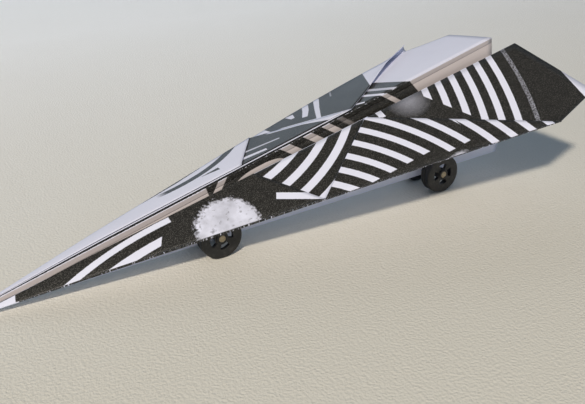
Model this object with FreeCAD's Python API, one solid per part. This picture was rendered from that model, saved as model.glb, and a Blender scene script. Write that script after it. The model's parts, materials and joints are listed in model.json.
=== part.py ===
"""A dart-type paper airplane on four small wheels.

The airplane is one sheet of letter paper, folded. Every crease runs out from the nose, so each
panel is a triangle or a quadrilateral with one corner at the nose, and the sheet's straight side
edge turns up in each layer of the wing as one straight raw edge.

Frame: millimetres, +Z up, the nose towards -X and the left wing towards -Y. The wheels stand on
z = 0, and the origin is under the middle of the bounding box.
"""

import FreeCAD, Part
import os
from math import cos, hypot, radians, sin, tan, atan2

V = FreeCAD.Vector

# The sheet
SHEET_LENGTH = 279.4
SHEET_WIDTH = 215.9
PAPER = 0.2

# The folds, all about the nose
KEEL_ANGLE = radians(12.5)     # from the keel's bottom fold to the wing crease
PLEAT_ANGLE = radians(10.8)    # from the wing crease to the wing's outer fold
WALL_TILT = radians(7.5)       # each keel wall leans outwards from upright
KEEL_SLOPE = radians(1.5)      # the keel's bottom fold rises towards the tail
NOSE_HEIGHT = 0.6              # of the nose above the ground
LEFT_DROOP = radians(27.0)     # of each wing below level, at rest
RIGHT_DROOP = radians(6.0)
CREASE_GAP = 0.3               # from the wing crease's axis to the panels on either side of it
CREASE_STEP = 0.25             # each layer of the stack starts this much further out

# The wheels
WHEEL_RADIUS = 9.75
WHEEL_WIDTH = 6.0
FRONT_AXLE_BACK = 106.7        # from the nose
WHEELBASE = 124.3
FACE_TO_FACE = 24.6            # over the outer faces of a pair of wheels
SHOULDER = 0.5                 # chamfer on both edges of the tread
RIM_WALL = 1.6
WEB = 2.0
HUB_RADIUS = 2.7
BOSS = 0.6                     # the hub stands out of the wheel's face
WINDOWS = 4
WINDOW_INNER = 3.1
WINDOW_OUTER = 5.5
WINDOW_ANGLE = 52.0            # degrees
GROOVE_WIDTH = 0.6
GROOVE_DEPTH = 0.35
GROOVE_PLACES = (1.3, 2.7)     # from the wheel's inner edge

# The axles
AXLE_RADIUS = 1.6
TUBE_WALL = 0.5
RUNNING_FIT = 0.05             # radial, between an axle and its tube
SIDE_PLAY = 0.4                # between a tube's end and the wheel

HALF_WIDTH = SHEET_WIDTH / 2
AXLE_HEIGHT = WHEEL_RADIUS
TUBE_RADIUS = AXLE_RADIUS + RUNNING_FIT + TUBE_WALL
FACE = FACE_TO_FACE / 2
NOSE = V(0, 0, NOSE_HEIGHT)
KEEL_LINE = V(cos(KEEL_SLOPE), 0, sin(KEEL_SLOPE))
KEEL_UP = V(-sin(KEEL_SLOPE), 0, cos(KEEL_SLOPE))
AXLES = {"front": FRONT_AXLE_BACK, "rear": FRONT_AXLE_BACK + WHEELBASE}
SIDES = {"left": (-1, LEFT_DROOP), "right": (1, RIGHT_DROOP)}


def wall_up(side):
    """The direction up a keel wall, square to the keel's bottom fold."""
    return KEEL_UP * cos(WALL_TILT) + V(0, side * sin(WALL_TILT), 0)


def crease_line(side):
    """The direction of a wing's crease, from the nose to the tail."""
    return KEEL_LINE * cos(KEEL_ANGLE) + wall_up(side) * sin(KEEL_ANGLE)


def wing_out(side, droop):
    """The direction out along a wing, square to its crease."""
    crease = crease_line(side)
    level = V(0, side, 0)
    level = (level - crease * level.dot(crease)).normalize()
    upright = crease.cross(level) * side
    return level * cos(droop) - upright * sin(droop)


def side_edge(angle):
    """Where the sheet's side edge crosses a line at this angle from the middle fold."""
    return HALF_WIDTH / sin(angle)


def polar(distance, angle):
    return (distance * cos(angle), distance * sin(angle))


def trimmed(outline, gap):
    """The part of an outline of (along, out) points that lies at least gap out from the crease."""
    kept = []
    for a, b in zip(outline, outline[1:] + outline[:1]):
        if a[1] >= gap:
            kept.append(a)
        if (a[1] >= gap) != (b[1] >= gap):
            share = (gap - a[1]) / (b[1] - a[1])
            kept.append((a[0] + (b[0] - a[0]) * share, gap))
    return kept


def sheet_piece(outline, along, out, lift, thickness_way):
    """A flat piece of the paper: an outline laid on two directions, lifted, with the paper's thickness."""
    places = [NOSE + along * a + out * b + thickness_way * lift for a, b in outline]
    face = Part.Face(Part.makePolygon(places + places[:1]))
    return face.extrude(thickness_way * PAPER)


def rod(radius, start, end, back):
    """A round bar on an axle's line, from one distance along Y to another."""
    return Part.makeCylinder(radius, end - start, V(back, start, AXLE_HEIGHT), V(0, 1, 0))


def keel_wall(side):
    """One side of the keel: from the middle fold up to the wing's crease, with the straws' holes."""
    crease = crease_line(side)
    down = (KEEL_LINE - crease * KEEL_LINE.dot(crease)).normalize()
    outwards = crease.cross(down) * side
    outline = [(0, 0), polar(SHEET_LENGTH, KEEL_ANGLE), (SHEET_LENGTH / cos(KEEL_ANGLE), 0)]
    wall = sheet_piece(trimmed(outline, CREASE_GAP), crease, down, 0, outwards)
    for back in AXLES.values():
        wall = wall.cut(rod(TUBE_RADIUS, -FACE, FACE, back))
    return wall


def wing_panels(side, droop):
    """A wing's layers, from the bottom up: the base and the pleats that lie on it."""
    fold = PLEAT_ANGLE
    corner = atan2(HALF_WIDTH, SHEET_LENGTH)
    first, second, third, fourth = (side_edge(KEEL_ANGLE + fold * k) for k in (1, 2, 3, 4))
    tuck = side_edge(KEEL_ANGLE + fold * 5)
    outlines = {
        "base": [polar(first, fold), polar(hypot(HALF_WIDTH, SHEET_LENGTH), corner - KEEL_ANGLE),
                 (SHEET_LENGTH / cos(KEEL_ANGLE), 0)],
        "lower_pleat": [polar(first, fold), (second, 0)],
        "middle_pleat": [polar(third, fold), (second, 0)],
        "tucked_corner": [polar(tuck, fold), (fourth, 0)],
        "top_pleat": [polar(third, fold), (fourth, 0)],
    }
    crease = crease_line(side)
    out = wing_out(side, droop)
    upwards = crease.cross(out) * side
    panels = {}
    for layer, (name, points) in enumerate(outlines.items()):
        outline = trimmed([(0, 0)] + points, CREASE_GAP + CREASE_STEP * layer)
        panels[name] = sheet_piece(outline, crease, out, PAPER * layer, upwards)
    return panels


def wheel_window(back, start, end, turn):
    """One of the openings through a wheel's web: a piece of a ring between two spokes."""
    ring = rod(WINDOW_OUTER, start, end, back).cut(rod(WINDOW_INNER, start, end, back))
    lowest = radians(turn - WINDOW_ANGLE / 2)
    highest = radians(turn + WINDOW_ANGLE / 2)
    middle = V(back, start, AXLE_HEIGHT)
    reach = WHEEL_RADIUS
    corners = [middle,
               middle + V(reach * cos(lowest), 0, reach * sin(lowest)),
               middle + V(reach * cos(highest), 0, reach * sin(highest))]
    wedge = Part.Face(Part.makePolygon(corners + corners[:1])).extrude(V(0, end - start, 0))
    return ring.common(wedge)


def wheel(side, back):
    """A moulded wheel: a rim with a grooved tread, a web with windows and a hub with a boss."""
    inner = FACE - WHEEL_WIDTH
    profile = [(AXLE_RADIUS, inner), (HUB_RADIUS, inner), (HUB_RADIUS, FACE - WEB),
               (WHEEL_RADIUS - RIM_WALL, FACE - WEB), (WHEEL_RADIUS - RIM_WALL, inner),
               (WHEEL_RADIUS - SHOULDER, inner), (WHEEL_RADIUS, inner + SHOULDER)]
    for place in GROOVE_PLACES:
        floor = WHEEL_RADIUS - GROOVE_DEPTH
        profile += [(WHEEL_RADIUS, inner + place), (floor, inner + place),
                    (floor, inner + place + GROOVE_WIDTH), (WHEEL_RADIUS, inner + place + GROOVE_WIDTH)]
    profile += [(WHEEL_RADIUS, FACE - SHOULDER), (WHEEL_RADIUS - SHOULDER, FACE),
                (HUB_RADIUS, FACE), (HUB_RADIUS, FACE + BOSS), (AXLE_RADIUS, FACE + BOSS)]
    corners = [V(back, side * across, AXLE_HEIGHT + radius) for radius, across in profile]
    face = Part.Face(Part.makePolygon(corners + corners[:1]))
    body = face.revolve(V(back, 0, AXLE_HEIGHT), V(0, 1, 0), 360)
    start, end = sorted((side * (FACE - WEB - 1), side * (FACE + 1)))
    for k in range(WINDOWS):
        body = body.cut(wheel_window(back, start, end, 360 * k / WINDOWS))
    return body


def axle_tube(back):
    """The straw through both keel walls that the axle turns in."""
    half = FACE - WHEEL_WIDTH - SIDE_PLAY
    bore = AXLE_RADIUS + RUNNING_FIT
    return rod(TUBE_RADIUS, -half, half, back).cut(rod(bore, -half, half, back))


def axle(back):
    """The round wooden stick that two wheels are pressed onto."""
    return rod(AXLE_RADIUS, -FACE - BOSS, FACE + BOSS, back)


def airplane():
    """Every piece, by name."""
    pieces = {}
    for name, (side, droop) in SIDES.items():
        pieces[name + "_keel_wall"] = keel_wall(side)
        for layer, panel in wing_panels(side, droop).items():
            pieces[name + "_wing_" + layer] = panel
    for place, back in AXLES.items():
        pieces[place + "_axle_tube"] = axle_tube(back)
        pieces[place + "_axle"] = axle(back)
        for name, (side, droop) in SIDES.items():
            pieces[place + "_" + name + "_wheel"] = wheel(side, back)
    return pieces


pieces = airplane()
box = Part.makeCompound(list(pieces.values())).BoundBox
shift = V(-box.Center.x, -box.Center.y, 0)
os.makedirs("parts", exist_ok=True)
for name, shape in pieces.items():
    shape.translate(shift)
    shape.exportStep("parts/" + name + ".step")

print("nose", NOSE + shift)
for name, (side, droop) in SIDES.items():
    print(name, "crease", crease_line(side))
for place, back in AXLES.items():
    print(place, "axle", V(back, 0, AXLE_HEIGHT) + shift)
print("size", box.XLength, box.YLength, box.ZMax, "lowest", box.ZMin)
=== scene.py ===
import json
from math import asin, atan, atan2, cos, pi, radians, sin, sqrt, tan

import bmesh
import bpy
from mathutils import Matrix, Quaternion, Vector


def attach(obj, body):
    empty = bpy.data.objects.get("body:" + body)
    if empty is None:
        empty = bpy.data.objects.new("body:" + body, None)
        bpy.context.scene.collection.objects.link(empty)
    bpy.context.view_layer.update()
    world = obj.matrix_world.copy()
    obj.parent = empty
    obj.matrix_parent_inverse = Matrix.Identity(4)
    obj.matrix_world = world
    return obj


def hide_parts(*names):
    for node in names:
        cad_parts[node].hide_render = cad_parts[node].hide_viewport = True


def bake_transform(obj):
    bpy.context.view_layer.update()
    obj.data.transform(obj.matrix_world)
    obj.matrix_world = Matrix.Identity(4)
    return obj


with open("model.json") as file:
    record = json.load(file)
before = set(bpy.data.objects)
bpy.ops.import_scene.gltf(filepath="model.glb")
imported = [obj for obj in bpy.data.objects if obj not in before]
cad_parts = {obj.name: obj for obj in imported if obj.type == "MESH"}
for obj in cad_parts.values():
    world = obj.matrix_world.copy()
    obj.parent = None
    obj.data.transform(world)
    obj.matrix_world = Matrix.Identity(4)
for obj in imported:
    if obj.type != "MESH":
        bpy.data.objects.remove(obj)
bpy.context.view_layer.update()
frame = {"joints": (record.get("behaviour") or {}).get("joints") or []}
bpy.context.scene.view_settings.view_transform = "Standard"

# ---- The sheet and the keel walls -------------------------------------------------------------
# One sheet of letter paper, printed on both sides and folded in half. The two halves below the
# wing creases are the keel's walls. They stand in a narrow V on the sheet's middle fold.

MM = 0.001
SHEET_LENGTH = 0.2794
SHEET_WIDTH = 0.2159
PAPER = 0.00017
KEEL_ANGLE = radians(12.5)      # on the sheet, from the middle fold to a wing's crease
PLEAT_ANGLE = radians(10.8)     # from a wing's crease to its outer fold
DROOP = {"left": radians(27.0), "right": radians(6.0)}
NOSE_OPENING = 0.0015           # the springy folds hold each crease this far out at the nose
LIP_DEPTH = 0.0025              # of the strip of wall that bends with the wing
FOLD_ROUND = 0.0005             # from a crease's corner to where the paper is flat again
FOLD_GAP = 0.6 * PAPER          # from the middle fold's plane to the middle of each wall's paper
SIDE = {"left": -1, "right": 1}
HALF_WIDTH = SHEET_WIDTH / 2
CREASE_END = SHEET_LENGTH / cos(KEEL_ANGLE)
WALL_SLOPE = tan(KEEL_ANGLE)
WING_SLOPE = tan(PLEAT_ANGLE)

joints = {joint["name"]: joint for joint in frame["joints"]}
nose = Vector(joints["left_wing_fold"]["pos_m"])
crease = {"left": -Vector(joints["left_wing_fold"]["axis"]),
          "right": Vector(joints["right_wing_fold"]["axis"])}
wall_tilt = asin(crease["right"].y / sin(KEEL_ANGLE))
keel_rise = atan2(crease["right"].z, crease["right"].x) - atan(WALL_SLOPE * cos(wall_tilt))
keel_line = Vector((cos(keel_rise), 0, sin(keel_rise)))
wall_down = {side: (keel_line - crease[side] * cos(KEEL_ANGLE)) / sin(KEEL_ANGLE) for side in SIDE}
wing_out = {}
wing_up = {}
for side, way in SIDE.items():
    level = Vector((0, way, 0))
    level = (level - crease[side] * level.dot(crease[side])).normalized()
    upright = crease[side].cross(level) * way
    wing_out[side] = level * cos(DROOP[side]) - upright * sin(DROOP[side])
    wing_up[side] = level * sin(DROOP[side]) + upright * cos(DROOP[side])


def on_wall(side, along, below):
    """A point of a keel wall, from the distance along the wing's crease and the distance below it."""
    height = max(0.0, 1 - below / (along * WALL_SLOPE))
    place = nose + crease[side] * along + wall_down[side] * below
    spread = NOSE_OPENING * (1 - along / CREASE_END) * height + FOLD_GAP * (1 - height)
    return place + Vector((0, SIDE[side] * spread, 0))


def on_wing(side, along, out, lift):
    """A point over a wing's plane, from the distances along and out from its crease."""
    place = nose + crease[side] * along + wing_out[side] * out + wing_up[side] * lift
    spread = NOSE_OPENING * max(0.0, 1 - along / CREASE_END)
    return place + Vector((0, SIDE[side] * spread, 0))


def paper_piece(name, rows, facing, materials):
    """A closed thin sheet on a grid of (point, place on the sheet) rows.

    facing points out of its first face.
    """
    across, along = len(rows), len(rows[0])
    points = [[p for p, spot in row] for row in rows]
    normals = []
    for i in range(across):
        for j in range(along):
            run = points[i][min(j + 1, along - 1)] - points[i][max(j - 1, 0)]
            step = points[min(i + 1, across - 1)][j] - points[max(i - 1, 0)][j]
            normals.append(run.cross(step).normalized())
    turned_over = sum(n.dot(facing) for n in normals) < 0
    half = PAPER / 2 * (-1 if turned_over else 1)
    flat = [p for row in points for p in row]
    corners = [p + n * half for p, n in zip(flat, normals)] + [p - n * half for p, n in zip(flat, normals)]
    under = across * along
    faces, kinds = [], []
    for i in range(across - 1):
        for j in range(along - 1):
            a = i * along + j
            quad = (a, a + 1, a + along + 1, a + along)
            faces += [quad, tuple(under + k for k in reversed(quad))]
            kinds += [0, 1]
    rim = list(range(along))
    rim += [i * along + along - 1 for i in range(1, across)]
    rim += [(across - 1) * along + j for j in range(along - 2, -1, -1)]
    rim += [i * along for i in range(across - 2, 0, -1)]
    for a, b in zip(rim, rim[1:] + rim[:1]):
        faces.append((b, a, under + a, under + b))
        kinds.append(2)
    if turned_over:
        faces = [tuple(reversed(face)) for face in faces]
    mesh = bpy.data.meshes.new(name)
    mesh.from_pydata(corners, [], faces)
    for material in materials:
        mesh.materials.append(material)
    mesh.polygons.foreach_set("material_index", kinds)
    mesh.polygons.foreach_set("use_smooth", [kind < 2 for kind in kinds])
    spots = [spot for row in rows for p, spot in row]
    on_sheet = mesh.attributes.new("on_sheet", "FLOAT_VECTOR", "POINT")
    on_sheet.data.foreach_set("vector", [value / MM for spot in spots + spots for value in (*spot, 0)])
    piece = bpy.data.objects.new(name, mesh)
    bpy.context.scene.collection.objects.link(piece)
    return piece


class Amount:
    """A number that changes over a surface, so that a shader's sums read as sums."""

    def __init__(self, tree, source):
        self.tree = tree
        self.source = source

    def worked(self, operation, *others, clamped=False):
        node = self.tree.nodes.new("ShaderNodeMath")
        node.operation = operation
        node.use_clamp = clamped
        for socket, value in zip(node.inputs, (self, *others)):
            if isinstance(value, Amount):
                self.tree.links.new(value.source, socket)
            else:
                socket.default_value = value
        return Amount(self.tree, node.outputs[0])

    def __add__(self, other):
        return self.worked("ADD", other)

    def __sub__(self, other):
        return self.worked("SUBTRACT", other)

    def __mul__(self, other):
        return self.worked("MULTIPLY", other)

    def __truediv__(self, other):
        return self.worked("DIVIDE", other)

    def above(self, limit, softness):
        """0 under the limit and 1 over it."""
        return ((self - limit) / softness).worked("ADD", 0.5, clamped=True)

    def below(self, limit, softness):
        return self.above(limit, softness).flipped()

    def flipped(self):
        return (self * -1).worked("ADD", 1.0)

    def either(self, other):
        return self.worked("MAXIMUM", other)


def group_of(name, inputs, outputs):
    """A shader node group with these number inputs. Returns its tree, its inputs and its output node."""
    tree = bpy.data.node_groups.new(name, "ShaderNodeTree")
    for label, value in inputs.items():
        socket = tree.interface.new_socket(label, in_out="INPUT", socket_type="NodeSocketFloat")
        socket.default_value = value
    for label, kind in outputs.items():
        tree.interface.new_socket(label, in_out="OUTPUT", socket_type=kind)
    source = tree.nodes.new("NodeGroupInput")
    given = {label: Amount(tree, source.outputs[label]) for label in inputs}
    return tree, given, tree.nodes.new("NodeGroupOutput")


def placed(tree, group, **values):
    """A node group's node in a tree, with its inputs linked or set."""
    node = tree.nodes.new("ShaderNodeGroup")
    node.node_tree = group
    for label, value in values.items():
        socket = node.inputs[label.replace("_", " ")]
        if isinstance(value, Amount):
            tree.links.new(value.source, socket)
        else:
            socket.default_value = value
    return node


def mottle(tree, scale, detail, seed):
    """Noise over the sheet: scale is in cells per millimetre."""
    spot = tree.nodes.new("ShaderNodeAttribute")
    spot.attribute_name = "on_sheet"
    moved = tree.nodes.new("ShaderNodeVectorMath")
    moved.operation = "ADD"
    moved.inputs[1].default_value = (seed * 17.3, seed * 5.1, seed)
    cloud = tree.nodes.new("ShaderNodeTexNoise")
    cloud.inputs["Scale"].default_value = scale
    cloud.inputs["Detail"].default_value = detail
    tree.links.new(spot.outputs["Vector"], moved.inputs[0])
    tree.links.new(moved.outputs[0], cloud.inputs["Vector"])
    return Amount(tree, cloud.outputs[0])


# Where a point lies on the wing, in millimetres: along the crease from the nose, and out from it.
# Ragged shakes them by that much, as toner has slightly ragged edges on plain paper.
sheet_place, given, result = group_of(
    "place_on_sheet", {"Ragged": 0.35},
    {"Along": "NodeSocketFloat", "Out": "NodeSocketFloat"})
spot = sheet_place.nodes.new("ShaderNodeAttribute")
spot.attribute_name = "on_sheet"
parts = sheet_place.nodes.new("ShaderNodeSeparateXYZ")
sheet_place.links.new(spot.outputs["Vector"], parts.inputs[0])
for label, axis, seed in (("Along", "X", 1), ("Out", "Y", 2)):
    shake = (mottle(sheet_place, 1.6, 2.0, seed) - 0.5) * given["Ragged"]
    value = Amount(sheet_place, parts.outputs[axis]) + shake
    sheet_place.links.new(value.source, result.inputs[label])

PRINT_EDGE = 0.18               # millimetres over which a printed edge fades

# Printed stripes that follow each other round a centre, with First the smallest stripe's inner
# radius. Each larger circle's centre lies further out by Opening and further along by Advance,
# as shares of its radius.
curved_stripes, given, result = group_of(
    "curved_stripes",
    {"Along": 0, "Out": 0, "Centre Along": 0, "Centre Out": 0, "First": 10, "Pitch": 9, "White": 3.5,
     "Count": 1, "Opening": 0, "Advance": 0},
    {"White": "NodeSocketFloat"})
along = given["Along"] - given["Centre Along"]
out = given["Out"] - given["Centre Out"]
opening = given["Opening"]
advance = given["Advance"]
moved = advance * along + opening * out
squeezed = (opening * opening + advance * advance).flipped()
radius = (moved * moved + squeezed * (along * along + out * out)).worked("SQRT")
radius = (radius - moved) / squeezed
turn = ((radius - given["First"]) / given["Pitch"]).worked("FLOOR")
turn = turn.worked("MAXIMUM", 0.0).worked("MINIMUM", given["Count"] - 1)
inside = radius - given["First"] - turn * given["Pitch"]
white = inside.above(0.0, PRINT_EDGE) * (inside - given["White"]).below(0.0, PRINT_EDGE)
curved_stripes.links.new(white.source, result.inputs["White"])

# One straight printed stroke between two places, with its own width at each end.
stroke, given, result = group_of(
    "printed_stroke",
    {"Along": 0, "Out": 0, "From Along": 0, "From Out": 0, "To Along": 1, "To Out": 0, "From Width": 1,
     "To Width": 1, "Softness": PRINT_EDGE},
    {"White": "NodeSocketFloat"})
run = given["To Along"] - given["From Along"]
rise = given["To Out"] - given["From Out"]
along = given["Along"] - given["From Along"]
out = given["Out"] - given["From Out"]
length = (run * run + rise * rise).worked("SQRT")
passed = (along * run + out * rise) / length
off = ((along * rise - out * run) / length).worked("ABSOLUTE")
widening = given["To Width"] - given["From Width"]
half_width = (given["From Width"] + widening * passed / length) * 0.5
softness = given["Softness"]
white = passed.above(0.0, softness) * (passed - length).below(0.0, softness)
white = white * (off - half_width).below(0.0, softness)
stroke.links.new(white.source, result.inputs["White"])

# Which side of a line through two places a point is on. It is 1 to the left of the way from the
# first place to the second, where along is drawn to the right and out is drawn upwards.
left_of, given, result = group_of(
    "left_of_line",
    {"Along": 0, "Out": 0, "From Along": 0, "From Out": 0, "To Along": 1, "To Out": 0,
     "Softness": PRINT_EDGE},
    {"White": "NodeSocketFloat"})
run = given["To Along"] - given["From Along"]
rise = given["To Out"] - given["From Out"]
along = given["Along"] - given["From Along"]
out = given["Out"] - given["From Out"]
over = (run * out - rise * along) / (run * run + rise * rise).worked("SQRT")
left_of.links.new(over.above(0.0, given["Softness"]).source, result.inputs["White"])

# A soft, furry-edged light patch in the print. Fur is how uneven its outline is.
soft_patch, given, result = group_of(
    "soft_patch",
    {"Along": 0, "Out": 0, "Centre Along": 0, "Centre Out": 0, "Half Length": 10, "Half Width": 10,
     "Fur": 0.2, "Softness": 0.1},
    {"White": "NodeSocketFloat"})
along = (given["Along"] - given["Centre Along"]) / given["Half Length"]
out = (given["Out"] - given["Centre Out"]) / given["Half Width"]
fur = (mottle(soft_patch, 0.9, 4.0, 5) - 0.5) * given["Fur"]
reach = (along * along + out * out).worked("SQRT") + fur
soft_patch.links.new(reach.below(1.0, given["Softness"]).source, result.inputs["White"])

# Bare paper and toner: White is 1 on bare paper and 0 under full toner. The toner lets a few
# fibres show, and flakes off along the folds, where Fold Distance is small. The third amount is 1
# inside the keel, where the bare paper is painted darker and pinker as painted shade.
PAPER_COLOUR = (0.74, 0.755, 0.88)
# painted shade: the darker, pinker colour given to the bare paper on the keel walls' insides
PAINTED_SHADE_COLOUR = (0.50, 0.455, 0.455)
TONER_COLOUR = (0.0125, 0.0120, 0.0105)
FIBRE_COLOUR = (0.12, 0.115, 0.105)
PAPER_GRAIN = 0.00004           # the height of the paper's and the toner's relief
PRINT_SPECULAR = 0.38
printed_surface, given, result = group_of(
    "printed_surface", {"White": 0, "Fold Distance": 10, "Dull": 0},
    {"Color": "NodeSocketColor", "Roughness": "NodeSocketFloat", "Height": "NodeSocketFloat"})
tree = printed_surface
specks = mottle(tree, 2.6, 2.0, 3).above(0.60, 0.16)
flakes = mottle(tree, 1.5, 3.0, 4) - given["Fold Distance"] * 0.55
bare = given["White"].either(flakes.above(0.58, 0.05)).worked("MINIMUM", 1.0)
fibre = mottle(tree, 3.5, 3.0, 6)
cloud = mottle(tree, 0.06, 2.0, 7)


def mixed(tree, share, first, second):
    """A colour between two colours, each a socket or three numbers."""
    node = tree.nodes.new("ShaderNodeMix")
    node.data_type = "RGBA"
    tree.links.new(share.source, node.inputs[0])
    for socket, colour in ((node.inputs[6], first), (node.inputs[7], second)):
        if isinstance(colour, tuple):
            socket.default_value = (*colour, 1)
        else:
            tree.links.new(colour, socket)
    return node.outputs[2]


def shaded(colour, share):
    return tuple(part * share for part in colour)


inked = mixed(tree, specks, TONER_COLOUR, FIBRE_COLOUR)
blank = mixed(tree, (fibre * 0.5 + cloud * 0.5), shaded(PAPER_COLOUR, 0.93), shaded(PAPER_COLOUR, 1.05))
# inside the keel the bare paper takes the painted shade colour
blank = mixed(tree, given["Dull"], blank, PAINTED_SHADE_COLOUR)
tree.links.new(mixed(tree, bare, inked, blank), result.inputs["Color"])
rough = bare * 0.38 + specks * 0.12 + (cloud - 0.5) * 0.1 + 0.40
tree.links.new(rough.source, result.inputs["Roughness"])
height = fibre * 0.6 + specks * 0.4 + bare * -0.3
tree.links.new(height.source, result.inputs["Height"])


class Print:
    """The print on one face of one piece of the sheet. Its marks are 1 where the paper is left bare."""

    def __init__(self, name):
        self.material = bpy.data.materials.new(name)
        self.material.use_nodes = True
        self.tree = self.material.node_tree
        self.shader = self.tree.nodes["Principled BSDF"]
        self.shader.inputs["Specular IOR Level"].default_value = PRINT_SPECULAR
        place = placed(self.tree, sheet_place)
        self.along = Amount(self.tree, place.outputs["Along"])
        self.out = Amount(self.tree, place.outputs["Out"])

    def mark(self, group, **values):
        node = placed(self.tree, group, Along=self.along, Out=self.out, **values)
        return Amount(self.tree, node.outputs["White"])

    def stripes(self, centre, first, pitch, white, count, opening=0.0, advance=0.0):
        return self.mark(curved_stripes, Centre_Along=centre[0], Centre_Out=centre[1], First=first,
                         Pitch=pitch, White=white, Count=count, Opening=opening, Advance=advance)

    def stroke(self, start, end, width, end_width=None, softness=PRINT_EDGE):
        last = width if end_width is None else end_width
        return self.mark(stroke, From_Along=start[0], From_Out=start[1], To_Along=end[0], To_Out=end[1],
                         From_Width=width, To_Width=last, Softness=softness)

    def left_of(self, start, end, softness=PRINT_EDGE):
        return self.mark(left_of, From_Along=start[0], From_Out=start[1], To_Along=end[0],
                         To_Out=end[1], Softness=softness)

    def patch(self, centre, half_length, half_width, fur, softness):
        return self.mark(soft_patch, Centre_Along=centre[0], Centre_Out=centre[1],
                         Half_Length=half_length, Half_Width=half_width, Fur=fur, Softness=softness)

    def everywhere(self):
        """Bare paper all over."""
        return self.along.above(-1000.0, 1.0)

    def finished(self, white, outer_fold=True, painted_shade=0.0):
        """The material, from where the paper is bare. It flakes at the outer fold, or at the crease."""
        fold = (self.along * WING_SLOPE - self.out) if outer_fold else self.out.worked("ABSOLUTE")
        # the last amount gives the bare paper painted shade
        surface = placed(self.tree, printed_surface, White=white, Fold_Distance=fold, Dull=painted_shade)
        for output, socket in (("Color", "Base Color"), ("Roughness", "Roughness")):
            self.tree.links.new(surface.outputs[output], self.shader.inputs[socket])
        bump = self.tree.nodes.new("ShaderNodeBump")
        bump.inputs["Strength"].default_value = 0.35
        bump.inputs["Distance"].default_value = PAPER_GRAIN
        self.tree.links.new(surface.outputs["Height"], bump.inputs["Height"])
        self.tree.links.new(bump.outputs["Normal"], self.shader.inputs["Normal"])
        return self.material


def cut_edge_finish():
    """The white core of the paper, where it is cut or folded sharply."""
    face = Print("paper_cut_edge")
    return face.finished(face.everywhere())


BARE_TIP = 22.0                 # millimetres from the nose that the left wing's print leaves bare


def hidden_side_print(side):
    """Bare paper, but for the toner that goes round the left wing's outer folds."""
    face = Print(side + "_paper_underside")
    if side == "right":
        return face.finished(face.everywhere())
    past_fold = (face.along * WING_SLOPE - face.out).above(0.45, 0.1)
    return face.finished(past_fold.either(face.along.below(BARE_TIP, 0.3)))


def left_base_print(face):
    """Stripes round the wing's root, a smoky light patch, and a solid black tail with one bare corner."""
    centre = (110.0, -40.0)
    stripes = face.stripes(centre, 122.3, 7.82, 3.5, 6) * face.left_of((242.8, 40.0), (222.0, 0.0))
    faint = face.stripes(centre, 171.1, 9.0, 2.3, 1)
    faint = faint * mottle(face.tree, 1.6, 2.0, 8).above(0.52, 0.3) * 0.5
    smoke = face.patch((216.0, 2.0), 6.5, 6.5, 0.5, 1.5) * 0.33
    short = face.stroke((199.7, 0.0), (199.7, 4.4), 3.2)
    corner = (face.along + face.out * 0.134).above(295.7, 0.2)
    return stripes.either(faint).either(smoke).either(short).either(corner)


def keel_inside_print(face):
    """Bare near the nose and the tail, and slanted stripes on black between them."""
    bare = face.along.below(111.3, 0.4).either((face.along + face.out * 0.5).above(229.5, 0.4))
    marks = (face.along - 138.3) / 13.0
    sunk = (face.out + 5.5) / 3.1
    bare = bare.either((marks * marks + sunk * sunk).below(1.0, 0.08))
    leaning_back = face.along - face.out * 1.1
    bare = bare.either(leaning_back.above(117.8, 0.3) * leaning_back.below(122.4, 0.3))
    leaning = face.along + face.out
    for start, end in ((151.0, 156.6), (164.0, 168.9), (175.0, 179.4), (211.3, 214.6)):
        bare = bare.either(leaning.above(start, 0.3) * leaning.below(end, 0.3))
    return bare.either(leaning.above(184.0, 1.0) * leaning.below(187.0, 1.0) * 0.3)


def right_base_print(face):
    """A few stripes beside the pleat, and bare paper over the whole tail."""
    stripes = face.stroke((207.3, 13.0), (213.0, 0.0), 2.7)
    stripes = stripes.either(face.stroke((214.0, 16.0), (220.6, 0.0), 3.0) * 0.75)
    stripes = stripes.either(face.stroke((199.3, 5.2), (202.8, 2.4), 1.9))
    return stripes.either(face.left_of((228.8, 0.0), (222.5, 24.0)).flipped())


keel_print = {}
root_print = {"left": left_base_print, "right": right_base_print}
for side in SIDE:
    face = Print(side + "_keel_inside_print")
    on_keel = face.out.below(0.0, 0.1)
    white = keel_inside_print(face) * on_keel
    white = white.either(root_print[side](face) * on_keel.flipped())
    # below the crease, on the walls' insides, the bare paper gets painted shade
    keel_print[side] = face.finished(white, False, face.out.below(-0.3, 0.4))
cut_edge = cut_edge_finish()
hidden_print = {side: hidden_side_print(side) for side in SIDE}

NOSE_START = 0.0015             # the sheet's folds run together at the nose, and the pieces start here
WALL_COLUMNS = 72
WALL_ROWS = 12
WALL_BOW = 0.0006               # how far a wall bows out between its folds, further back than BOW_START
BOW_START = 0.15


def join_depth(along):
    """How far under the crease the wall's fixed part ends."""
    return min(LIP_DEPTH, 0.45 * along * WALL_SLOPE)


def wall_end(below):
    """The distance along the crease of the sheet's rear edge, this far below the crease."""
    return (SHEET_LENGTH - below * sin(KEEL_ANGLE)) / cos(KEEL_ANGLE)


def steps(count):
    return [k / count for k in range(count + 1)]


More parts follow.
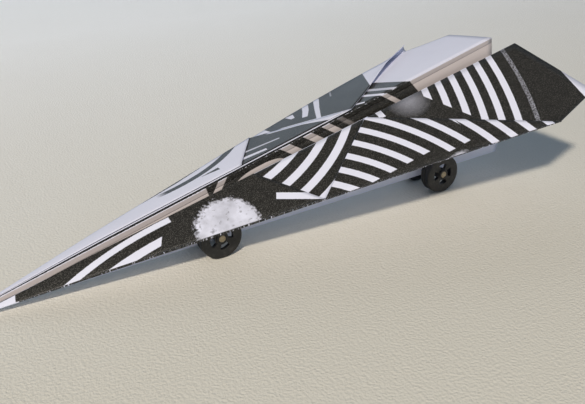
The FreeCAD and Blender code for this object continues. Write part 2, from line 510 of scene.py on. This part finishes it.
for side, way in SIDE.items():
    rows = []
    for share in steps(WALL_ROWS):
        row = []
        kept = 1 - share
        end = (SHEET_LENGTH - LIP_DEPTH * kept * sin(KEEL_ANGLE))
        end = end / (cos(KEEL_ANGLE) + share * WALL_SLOPE * sin(KEEL_ANGLE))
        for part in steps(WALL_COLUMNS):
            along = NOSE_START + (end - NOSE_START) * part
            below = join_depth(along) * kept + along * WALL_SLOPE * share
            bow = WALL_BOW * sin(pi * share) * min(1.0, along / BOW_START)
            point = on_wall(side, along, below) + Vector((0, way * bow, 0))
            row.append((point, (along, -below)))
        rows.append(row)
    if side == "left":
        for turn in steps(4)[1:]:
            row = []
            for point, spot in rows[WALL_ROWS]:
                shift = Vector((0, FOLD_GAP * (1 - cos(pi * turn)), -FOLD_GAP * sin(pi * turn)))
                row.append((point + shift, spot))
            rows.append(row)
    wall = paper_piece(side + "_keel_side", rows, Vector((0, -way, 0)),
                       [keel_print[side], hidden_print[side], cut_edge])
    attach(wall, "keel")
    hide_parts(side + "_keel_wall")

# ---- The wing creases -------------------------------------------------------------------------
# The same sheet goes on over each crease, and the crease is the hinge that the wing folds on.

STRIP_ROWS = 5
BEND_ROWS = 6

for side in SIDE:
    rows = []
    for share in steps(STRIP_ROWS):
        row = []
        for part in steps(WALL_COLUMNS):
            along = NOSE_START + (wall_end(LIP_DEPTH * (1 - share)) - NOSE_START) * part
            small = min(FOLD_ROUND, 0.3 * along * WING_SLOPE)
            below = join_depth(along) * (1 - share) + small * share
            row.append((on_wall(side, along, below), (along, -below)))
        rows.append(row)
    for share in steps(BEND_ROWS)[1:]:
        row = []
        for part in steps(WALL_COLUMNS):
            along = NOSE_START + (CREASE_END - NOSE_START) * part
            small = min(FOLD_ROUND, 0.3 * along * WING_SLOPE)
            start = on_wall(side, along, small)
            corner = on_wing(side, along, 0, 0)
            finish = on_wing(side, along, small, 0)
            point = start * (1 - share) ** 2 + corner * 2 * share * (1 - share) + finish * share ** 2
            row.append((point, (along, small * (2 * share - 1))))
        rows.append(row)
    strip = paper_piece(side + "_wing_crease", rows, Vector((0, -SIDE[side], 0.6)),
                        [keel_print[side], hidden_print[side], cut_edge])
    side + "_wing"
    nose + wall_down[side] * LIP_DEPTH
    nose + wall_down[side] * LIP_DEPTH * 0.15
    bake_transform(strip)

# ---- The wings --------------------------------------------------------------------------------
# Each wing is one triangle of the sheet with the rest of its width folded back and forth over it
# in pleats. All the folds meet at the nose, and the last corner is tucked in under the top pleat.

SPAN_ROWS = 14
SPAN_COLUMNS = 66
LIP_STEPS = 6
ROOT_GAP = {"base": 0.0005, "lower_pleat": 0.0006, "middle_pleat": 0.0006, "tucked_corner": 0.0009,
            "top_pleat": 0.0009}
# Each layer's height over the wing's plane at the crease and at the outer fold, and how much it puffs
LAYERS = {
    "left": {"base": (0, 0, 0), "lower_pleat": (0.00045, 0.00035, 0.0001),
             "middle_pleat": (0.0009, 0.0006, 0.0001), "tucked_corner": (0.00115, 0.0009, 0.0001),
             "top_pleat": (0.0016, 0.0012, 0.0002)},
    "right": {"base": (0, 0, 0), "lower_pleat": (0.0007, 0.0004, 0.0002),
              "middle_pleat": (0.0011, 0.0007, 0.0001), "tucked_corner": (0.0014, 0.0009, 0.0001),
              "top_pleat": (0.0019, 0.0011, 0.0002)},
}
# The fold that each piece carries: the edge it is on, and the piece that it leads to
FOLDS = {"base": ("outer", "lower_pleat"), "lower_pleat": ("inner", "middle_pleat"),
         "middle_pleat": ("outer", "top_pleat"), "top_pleat": ("inner", "tucked_corner"),
         "tucked_corner": (None, None)}


def edge_crossing(fold):
    """Where the sheet's side edge crosses a line through the nose, this many pleats out from the crease."""
    return HALF_WIDTH / sin(KEEL_ANGLE + PLEAT_ANGLE * fold)


def on_outer_fold(distance):
    return (distance * cos(PLEAT_ANGLE), distance * sin(PLEAT_ANGLE))


corner_angle = atan2(HALF_WIDTH, SHEET_LENGTH) - KEEL_ANGLE
corner_reach = sqrt(HALF_WIDTH ** 2 + SHEET_LENGTH ** 2)
TAILS = {
    "base": [(CREASE_END, 0), (corner_reach * cos(corner_angle), corner_reach * sin(corner_angle)),
             on_outer_fold(edge_crossing(1))],
    "lower_pleat": [(edge_crossing(2), 0), on_outer_fold(edge_crossing(1))],
    "middle_pleat": [(edge_crossing(2), 0), on_outer_fold(edge_crossing(3))],
    "tucked_corner": [(edge_crossing(4), 0), on_outer_fold(edge_crossing(5))],
    "top_pleat": [(edge_crossing(4), 0), on_outer_fold(edge_crossing(3))],
}


PRESSED_LENGTH = 0.07           # from the nose to where the folds are fully open
PRESSED_SHARE = 0.12            # of the layers' height that is left at the nose
WAVE_HEIGHT = 0.00025           # of the waves along both wings
SAG = 0.0030                    # of the right wing's outer edge, most of the way back
SAG_START = 0.13
CURL = 0.0032                   # of the right lower pleat's free edge, over its last CURL_WIDTH
CURL_WIDTH = 0.008
CURL_START = 0.212


def flattened(along):
    """How open the folds are: pressed flat at the nose, and springy further back."""
    share = min(1.0, along / PRESSED_LENGTH)
    return PRESSED_SHARE + (1 - PRESSED_SHARE) * share * share * (3 - 2 * share)


def springing(side, layer, along, out):
    """What the paper's own spring adds to a layer's height."""
    lift = WAVE_HEIGHT * sin(along * 31 + 1.3) * out / 0.05
    if side == "right":
        lift -= SAG * max(0.0, (along - SAG_START) / 0.12) ** 1.5 * out / 0.045
        if layer == "lower_pleat":
            (start_along, start_out), (end_along, end_out) = TAILS[layer]
            run, rise = end_along - start_along, end_out - start_out
            from_edge = (run * (out - start_out) - rise * (along - start_along)) / sqrt(run ** 2 + rise ** 2)
            share = min(1.0, max(0.0, (along - CURL_START) / 0.03))
            lift += CURL * max(0.0, 1 - from_edge / CURL_WIDTH) ** 2 * share
    return lift


def layer_height(side, layer, along, out, share):
    at_root, at_fold, puff = LAYERS[side][layer]
    height = at_root + (at_fold - at_root) * share + puff * sin(pi * share)
    return height * flattened(along) + springing(side, layer, along, out)


def wing_panel(side, layer):
    """The grid of one layer, and of the rounded fold that leads from it to the next."""
    edge, following = FOLDS[layer]
    outer_round = (LAYERS[side]["lower_pleat"][1] if layer in ("base", "lower_pleat")
                   else LAYERS[side]["top_pleat"][1] - LAYERS[side]["middle_pleat"][1]) / 2
    tail = TAILS[layer]

    def span(along):
        """The distances out from the crease that the layer lies between."""
        outer = along * WING_SLOPE - outer_round * flattened(along)
        return min(ROOT_GAP[layer], 0.3 * along * WING_SLOPE), outer

    def tail_along(share):
        """Where a line that keeps its share of the layer's width meets the tail edge."""
        start = ROOT_GAP[layer] * (1 - share) - share * outer_round
        slope = share * WING_SLOPE
        for first, last in zip(tail, tail[1:]):
            run, rise = last[0] - first[0], last[1] - first[1]
            part = (start + slope * first[0] - first[1]) / (rise - slope * run)
            if part <= 1 or last is tail[-1]:
                return first[0] + run * part

    shares = steps(SPAN_ROWS)
    if layer == "base":
        corner = tail[1]
        low, high = span(corner[0])
        shares = sorted(shares + [(corner[1] - low) / (high - low)])
    rows = []
    for share in shares:
        row = []
        end = tail_along(share)
        for part in steps(SPAN_COLUMNS):
            along = NOSE_START + (end - NOSE_START) * part
            low, high = span(along)
            out = low + (high - low) * share
            point = on_wing(side, along, out, layer_height(side, layer, along, out, share))
            row.append((point, (along, out)))
        rows.append(row)
    if edge:
        share = 1 if edge == "outer" else 0
        end = tail_along(share)
        fold = []
        for turn in steps(LIP_STEPS)[1:]:
            row = []
            for part in steps(SPAN_COLUMNS):
                along = NOSE_START + (end - NOSE_START) * part
                out = span(along)[share]
                here = layer_height(side, layer, along, out, share)
                there = layer_height(side, following, along, out, share)
                reach = abs(there - here) / 2 * sin(pi * turn) * (1 if share else -0.8)
                height = here + (there - here) * (1 - cos(pi * turn)) / 2
                row.append((on_wing(side, along, out + reach, height), (along, out + reach)))
            fold.append(row)
        rows = rows + fold if share else fold[::-1] + rows
    return rows


def left_lower_print(face):
    """Curved stripes that stop short of the outer fold further forward, and a faint smear."""
    rear = face.left_of((226.2, 20.0), (229.5, 50.0)).flipped()
    stripes = face.stripes((101.8, 67.3), 62.0, 7.39, 3.02, 11, 0.005, 0.166) * rear.flipped()
    stripes = stripes.either(face.stripes((153.0, 30.5), 10.9, 9.8, 3.9, 11, 0.295) * rear)
    short = face.out.above(32.3, 0.3) * face.along.below(208.0, 0.3)
    shorter = face.out.above(37.2, 0.3) * face.along.below(227.0, 0.3)
    smear = face.patch((214.5, 41.2), 4.0, 1.6, 1.4, 1.0) * 0.7
    return (stripes * short.flipped() * shorter.flipped()).either(smear)


def left_middle_print(face):
    """Four long curved stripes."""
    return face.stripes((120.0, -69.0), 74.3, 8.35, 3.6, 4)


def left_top_print(face):
    """Bare at the tip, two long curved stripes, a soft light patch and a short straight stripe."""
    margin = (face.along + face.out * 0.3).below(BARE_TIP, 0.2)
    centre = (85.0, 169.0)
    narrow = face.stripes(centre, 165.1, 9.0, 2.8, 1) * face.along.below(89.0, 0.4)
    wide = face.stripes(centre, 157.0, 9.0, 3.7, 1) * (face.along + face.out * 0.6).below(87.5, 0.2)
    flecks = mottle(face.tree, 0.42, 4.0, 9).above(0.64, 0.12) * 0.6
    shade = mottle(face.tree, 0.16, 3.0, 10).above(0.50, 0.35) * 0.35
    patch = face.patch((108.3, 18.6), 13.6, 14.0, 0.5, 0.14) * (flecks.either(shade)).flipped()
    straight = face.stroke((133.3, 16.2), (152.0, 27.8), 3.4)
    return margin.either(narrow).either(wide).either(patch).either(straight)


def right_lower_print(face):
    """Slanted stripes on black, a light band along the middle pleat's edge, and a bare end."""
    stripes = face.stroke((175.5, 32.0), (174.5, 26.0), 4.6, 2.0)
    stripes = stripes.either(face.stroke((188.0, 36.0), (183.0, 27.0), 3.5, 3.3))
    stripes = stripes.either(face.stroke((183.0, 27.2), (178.2, 20.0), 3.3, 2.8))
    stripes = stripes.either(face.stroke((196.0, 37.5), (189.0, 25.5), 3.2, 2.7))
    stripes = stripes.either(face.stroke((189.0, 25.7), (180.0, 9.5), 2.7, 2.3))
    stripes = stripes.either(face.stroke((205.5, 38.0), (201.5, 31.0), 0.9) * 0.4)
    beside = face.left_of((149.1, 31.4), (194.6, 0.7)).flipped()
    stripes = stripes.either(beside * face.along.above(164.0, 2.0))
    stripes = stripes.either(face.along.below(159.5, 0.3))
    return stripes.either(face.left_of((219.0, 20.0), (231.5, 44.0)).flipped())


def right_middle_print(face):
    """Two light bands on black, and a broader one along the slanted edge."""
    bands = face.stroke((139.5, 13.8), (157.0, 9.8), 1.7, 1.2, 0.6) * 0.85
    bands = bands.either(face.stroke((133.0, 8.0), (147.0, 4.9), 2.9, 2.2))
    edge = face.left_of((192.6, -2.6), (150.2, 26.1)).flipped()
    bands = bands.either(edge * face.along.above(157.0, 1.5))
    corner = face.left_of((181.5, 0.0), (172.0, 11.0)).flipped()
    return bands.either(corner * face.left_of((196.0, 1.2), (181.0, 1.0)).flipped())


def right_top_print(face):
    """Mostly bare, with a curved dark band, a thin wedge and a dark stroke beside the outer edge."""
    band = face.stripes((103.6, 60.2), 45.8, 9.0, 4.2, 1) * face.along.above(95.0, 5.0)
    wedge = face.stroke((114.0, 9.7), (123.3, 9.0), 0.1, 3.2)
    edge = face.stroke((86.0, 15.6), (104.0, 19.0), 0.2, 2.2)
    edge = edge.either(face.stroke((104.0, 19.0), (119.0, 22.2), 2.2, 0.5))
    return band.either(wedge).either(edge).flipped()


def inner_layer_print(face):
    """The tucked corner is left bare."""
    return face.everywhere()


top_prints = {
    "left_wing_base": left_base_print, "left_wing_lower_pleat": left_lower_print,
    "left_wing_middle_pleat": left_middle_print, "left_wing_tucked_corner": inner_layer_print,
    "left_wing_top_pleat": left_top_print, "right_wing_base": right_base_print,
    "right_wing_lower_pleat": right_lower_print, "right_wing_middle_pleat": right_middle_print,
    "right_wing_tucked_corner": inner_layer_print, "right_wing_top_pleat": right_top_print,
}
for side in SIDE:
    for layer in FOLDS:
        node = side + "_wing_" + layer
        face = Print(node + "_print")
        top_side = face.finished(top_prints[node](face))
        panel = paper_piece(node + "_paper", wing_panel(side, layer), wing_up[side],
                            [top_side, hidden_print[side], cut_edge])
        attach(panel, side + "_wing")
        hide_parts(node)

# ---- The straws -------------------------------------------------------------------------------
# Two short lengths of thin milky plastic drinking straw go through both keel walls, and the
# axles turn in them.

TURNING_STEPS = 90


def turned(name, profile, middle, windows=(), window_edges=()):
    """A solid turned about an axle. profile is a closed loop of (radius, distance along the axle).

    windows lists the steps that are left open, and window_edges the two stretches of the profile,
    each from its inner to its outer edge, that the openings go through.
    """
    mesh = bpy.data.meshes.new(name)
    points = []
    for step in range(TURNING_STEPS):
        angle = 2 * pi * step / TURNING_STEPS
        for radius, along in profile:
            points.append(middle + Vector((radius * cos(angle), along, radius * sin(angle))))
    count = len(profile)
    faces = []
    open_spans = [low for low, high in window_edges]
    for step in range(TURNING_STEPS):
        near, far = step * count, (step + 1) % TURNING_STEPS * count
        for k in range(count):
            if step in windows and k in open_spans:
                continue
            following = (k + 1) % count
            faces.append((near + k, near + following, far + following, far + k))
    if windows:
        (front, front_end), (back, back_end) = window_edges
        for step in windows:
            near, far = step * count, (step + 1) % TURNING_STEPS * count
            faces.append((near + front, far + front, far + back_end, near + back_end))
            faces.append((near + front_end, far + front_end, far + back, near + back))
            if (step - 1) % TURNING_STEPS not in windows:
                faces.append((near + front, near + front_end, near + back, near + back_end))
            if (step + 1) % TURNING_STEPS not in windows:
                faces.append((far + front, far + front_end, far + back, far + back_end))
    mesh.from_pydata(points, [], faces)
    shell = bmesh.new()
    shell.from_mesh(mesh)
    bmesh.ops.remove_doubles(shell, verts=shell.verts, dist=1e-6)
    bmesh.ops.recalc_face_normals(shell, faces=shell.faces)
    for face in shell.faces:
        face.smooth = True
    for edge in shell.edges:
        edge.smooth = len(edge.link_faces) == 2 and edge.calc_face_angle(0) < radians(35)
    shell.to_mesh(mesh)
    shell.free()
    piece = bpy.data.objects.new(name, mesh)
    bpy.context.scene.collection.objects.link(piece)
    return piece


def surface_noise(tree, scale, detail, stretch=(1, 1, 1)):
    """Noise in the object's own coordinates: scale is in cells per metre."""
    place = tree.nodes.new("ShaderNodeTexCoord")
    mapping = tree.nodes.new("ShaderNodeMapping")
    mapping.inputs["Scale"].default_value = stretch
    cloud = tree.nodes.new("ShaderNodeTexNoise")
    cloud.inputs["Scale"].default_value = scale
    cloud.inputs["Detail"].default_value = detail
    tree.links.new(place.outputs["Object"], mapping.inputs[0])
    tree.links.new(mapping.outputs[0], cloud.inputs["Vector"])
    return Amount(tree, cloud.outputs[0])


def finish_of(name, colours, share_of, roughness, bump_height, bump_distance):
    """A material between two colours. share_of, roughness and bump_height give amounts on its tree."""
    material = bpy.data.materials.new(name)
    material.use_nodes = True
    tree = material.node_tree
    shader = tree.nodes["Principled BSDF"]
    tree.links.new(mixed(tree, share_of(tree), *colours), shader.inputs["Base Color"])
    tree.links.new(roughness(tree).source, shader.inputs["Roughness"])
    bump = tree.nodes.new("ShaderNodeBump")
    bump.inputs["Strength"].default_value = 0.5
    bump.inputs["Distance"].default_value = bump_distance
    tree.links.new(bump_height(tree).source, bump.inputs["Height"])
    tree.links.new(bump.outputs["Normal"], shader.inputs["Normal"])
    return material


straw_finish = finish_of(
    "milky_straw", ((0.70, 0.74, 0.78), (0.80, 0.83, 0.86)), lambda tree: surface_noise(tree, 300, 2.0),
    lambda tree: surface_noise(tree, 900, 2.0) * 0.15 + 0.25,
    lambda tree: surface_noise(tree, 250, 2.0, (1, 20, 1)), 0.00003)
shader = straw_finish.node_tree.nodes["Principled BSDF"]
shader.inputs["Subsurface Weight"].default_value = 0.2
shader.inputs["Subsurface Radius"].default_value = (0.001, 0.001, 0.001)

axle_middle = {place: Vector(joints[place + "_axle_spin"]["pos_m"]) for place in ("front", "rear")}
WHEEL_RADIUS = 0.00975
WHEEL_WIDTH = 0.006
WHEEL_FACE = 0.0123             # from the middle to a wheel's outer face
AXLE_RADIUS = 0.0016
RUNNING_FIT = 0.00005
STRAW_WALL = 0.0005
STRAW_HALF = WHEEL_FACE - WHEEL_WIDTH - 0.0004

for place, middle in axle_middle.items():
    bore = AXLE_RADIUS + RUNNING_FIT
    skin = bore + STRAW_WALL
    eased = 0.0001
    profile = [(bore, -STRAW_HALF + eased), (bore + eased, -STRAW_HALF), (skin - eased, -STRAW_HALF),
               (skin, -STRAW_HALF + eased), (skin, STRAW_HALF - eased), (skin - eased, STRAW_HALF),
               (bore + eased, STRAW_HALF), (bore, STRAW_HALF - eased)]
    straw = turned(place + "_straw", profile, middle)
    straw.data.materials.append(straw_finish)
    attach(straw, "keel")
    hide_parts(place + "_axle_tube")

# ---- The axles --------------------------------------------------------------------------------
# Thin round sticks of pale bare wood, cut square and lightly sanded. A wheel is pressed onto
# each end.

BOSS = 0.0006
wood_finish = finish_of(
    "pale_dowel", ((0.34, 0.25, 0.14), (0.56, 0.46, 0.30)),
    lambda tree: surface_noise(tree, 1500, 4.0, (1, 0.06, 1)).above(0.5, 0.5),
    lambda tree: surface_noise(tree, 2500, 2.0, (1, 0.1, 1)) * 0.2 + 0.6,
    lambda tree: surface_noise(tree, 3000, 3.0, (1, 0.05, 1)), 0.00005)

for place, middle in axle_middle.items():
    half = WHEEL_FACE + BOSS
    eased = 0.0002
    profile = [(0, -half), (AXLE_RADIUS - eased, -half), (AXLE_RADIUS, -half + eased),
               (AXLE_RADIUS, half - eased), (AXLE_RADIUS - eased, half), (0, half)]
    stick = turned(place + "_axle_dowel", profile, middle)
    stick.data.materials.append(wood_finish)
    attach(stick, place + "_wheels")
    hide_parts(place + "_axle")

# ---- The wheels -------------------------------------------------------------------------------
# Moulded black plastic wheels: a rim with two grooves round the inner half of its tread, a web
# with four openings, and a hub whose boss stands out of the outer face.

SHOULDER = 0.0005
RIM_WALL = 0.0016
WEB = 0.002
HUB_RADIUS = 0.0027
WINDOW_INNER = 0.0031
WINDOW_OUTER = 0.0055
WINDOW_STEPS = 13
GROOVE_WIDTH = 0.0006
GROOVE_DEPTH = 0.00035
GROOVES = (0.0013, 0.0027)
FIRST_WINDOW = {"front": -3, "rear": -6}
FACE_SINK = 0.00025             # the outer face is very slightly dished between the rim and the hub
SINK_WIDTH = 0.0006             # from the windows' outer edge to where the dish starts
BOSS_ROUND = 0.0001
EDGE_ROUND = 0.00009

wheel_finish = finish_of(
    "black_moulded_plastic", ((0.0085, 0.0085, 0.0085), (0.030, 0.029, 0.027)),
    lambda tree: surface_noise(tree, 700, 4.0).above(0.62, 0.3),
    lambda tree: surface_noise(tree, 1200, 3.0) * 0.25 + 0.32,
    lambda tree: surface_noise(tree, 2500, 3.0), 0.00003)


def wheel_profile(way):
    """A wheel's closed outline, and the two stretches of it that the windows go through."""
    inner = WHEEL_FACE - WHEEL_WIDTH
    rim = WHEEL_RADIUS - RIM_WALL
    web = WHEEL_FACE - WEB
    round_off = SHOULDER * (1 - sqrt(0.5))
    outline = [(AXLE_RADIUS, inner), (HUB_RADIUS, inner), (HUB_RADIUS, web), (WINDOW_INNER, web),
               (WINDOW_OUTER, web), (rim, web), (rim, inner), (WHEEL_RADIUS - SHOULDER, inner),
               (WHEEL_RADIUS - round_off, inner + round_off), (WHEEL_RADIUS, inner + SHOULDER)]
    for groove in GROOVES:
        low, high = inner + groove, inner + groove + GROOVE_WIDTH
        floor_radius = WHEEL_RADIUS - GROOVE_DEPTH
        outline += [(WHEEL_RADIUS, low), (floor_radius, low), (floor_radius, high), (WHEEL_RADIUS, high)]
    outline += [(WHEEL_RADIUS, WHEEL_FACE - SHOULDER), (WHEEL_RADIUS - round_off, WHEEL_FACE - round_off),
                (WHEEL_RADIUS - SHOULDER, WHEEL_FACE), (rim, WHEEL_FACE)]
    front = len(outline) + 1
    outline += [(WINDOW_OUTER + SINK_WIDTH, WHEEL_FACE - FACE_SINK), (WINDOW_OUTER, WHEEL_FACE - FACE_SINK),
                (WINDOW_INNER, WHEEL_FACE - FACE_SINK), (HUB_RADIUS, WHEEL_FACE - FACE_SINK),
                (HUB_RADIUS - BOSS_ROUND, WHEEL_FACE + BOSS - BOSS_ROUND),
                (HUB_RADIUS - 2 * BOSS_ROUND, WHEEL_FACE + BOSS),
                (AXLE_RADIUS, WHEEL_FACE + BOSS)]
    return [(radius, way * along) for radius, along in outline], ((front, front + 1), (3, 4))


for place, middle in axle_middle.items():
    open_steps = set()
    for quarter in range(4):
        start = FIRST_WINDOW[place] + round(quarter * TURNING_STEPS / 4)
        open_steps |= {(start + k) % TURNING_STEPS for k in range(WINDOW_STEPS)}
    for side, way in SIDE.items():
        profile, edges = wheel_profile(way)
        wheel = turned(place + "_" + side + "_moulded_wheel", profile, middle, open_steps, edges)
        wheel.data.materials.append(wheel_finish)
        rounding = wheel.modifiers.new("eased_edges", "BEVEL")
        rounding.width = EDGE_ROUND
        rounding.segments = 2
        rounding.limit_method = "ANGLE"
        rounding.angle_limit = radians(40)
        rounding.use_clamp_overlap = True
        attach(wheel, place + "_wheels")
        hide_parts(place + "_" + side + "_wheel")

# ---- The floor, the lights and the camera -----------------------------------------------------
# A pale textured floor, painted paler and whiter far behind the airplane as painted light, a soft
# lamp from the front left, a pale panel behind, and even light.

floor_mesh = bpy.data.meshes.new("floor")
floor_mesh.from_pydata([(-6, -6, 0), (6, -6, 0), (6, 6, 0), (-6, 6, 0)], [], [(0, 1, 2, 3)])
floor = bpy.data.objects.new("floor", floor_mesh)
bpy.context.scene.collection.objects.link(floor)


def painted_light_away(tree):
    """0 on the floor beside the airplane, and 1 far behind it, where the floor is painted paler as painted
    light.
    """
    place = tree.nodes.new("ShaderNodeTexCoord")
    along = tree.nodes.new("ShaderNodeVectorMath")
    along.operation = "DOT_PRODUCT"
    along.inputs[1].default_value = (0.02, 0.99, 0)
    tree.links.new(place.outputs["Object"], along.inputs[0])
    return Amount(tree, along.outputs["Value"]).above(0.22, 0.6) + (surface_noise(tree, 9, 3.0) - 0.5) * 0.1


# painted light: the floor's colour goes from warm cream beside the airplane to near white far behind
floor_finish = finish_of(
    "pale_floor", ((0.70, 0.672, 0.59), (0.99, 0.99, 0.98)), painted_light_away,
    lambda tree: surface_noise(tree, 400, 2.0) * 0.2 + 0.6,
    lambda tree: surface_noise(tree, 850, 2.0), 0.0009)
floor.data.materials.append(floor_finish)


def lamp(name, place, target, size, power, colour):
    light = bpy.data.lights.new(name, "AREA")
    light.shape = "RECTANGLE"
    light.size, light.size_y = size
    light.energy = power
    light.color = colour
    holder = bpy.data.objects.new(name, light)
    holder.location = place
    holder.rotation_euler = (Vector(target) - Vector(place)).to_track_quat("-Z", "Y").to_euler()
    bpy.context.scene.collection.objects.link(holder)


KEY_WAY = Vector((-0.58, -0.575, 0.685))
KEY_DISTANCE = 4.0
lamp("soft_key", KEY_WAY * KEY_DISTANCE, (0, 0, 0.02), (0.29, 0.29), 172.0, (1.0, 0.91, 0.79))
lamp("back_panel", (0.25, 1.4, 0.65), (0, 0.3, 0), (1.4, 0.6), 2.8, (0.82, 0.92, 1.0))

# The even light is blue and comes from low all round, and the space overhead is dimmer
world = bpy.data.worlds.new("even_light")
world.use_nodes = True
tree = world.node_tree
way = tree.nodes.new("ShaderNodeTexCoord")
parts = tree.nodes.new("ShaderNodeSeparateXYZ")
tree.links.new(way.outputs["Generated"], parts.inputs[0])
overhead = Amount(tree, parts.outputs["Z"]).above(0.45, 0.9)
sky = mixed(tree, overhead, (0.29, 0.40, 0.54), (0.05, 0.06, 0.08))
tree.links.new(sky, tree.nodes["Background"].inputs[0])
bpy.context.scene.world = world

camera = bpy.data.cameras.new("camera")
camera.sensor_width = 36.0
camera.lens = 44.88
camera.clip_start = 0.01
holder = bpy.data.objects.new("camera", camera)
AIM = Vector((-0.00629, -0.01919, 0.020))
DISTANCE = 0.3227
AZIMUTH = radians(-29.47)
ELEVATION = radians(24.8)
ROLL = radians(-2.24)
back = Vector((sin(AZIMUTH) * cos(ELEVATION), -cos(AZIMUTH) * cos(ELEVATION), sin(ELEVATION)))
holder.rotation_mode = "QUATERNION"
holder.rotation_quaternion = (-back).to_track_quat("-Z", "Y") @ Quaternion((0, 0, 1), ROLL)
holder.location = AIM + back * DISTANCE
bpy.context.scene.collection.objects.link(holder)
bpy.context.scene.camera = holder
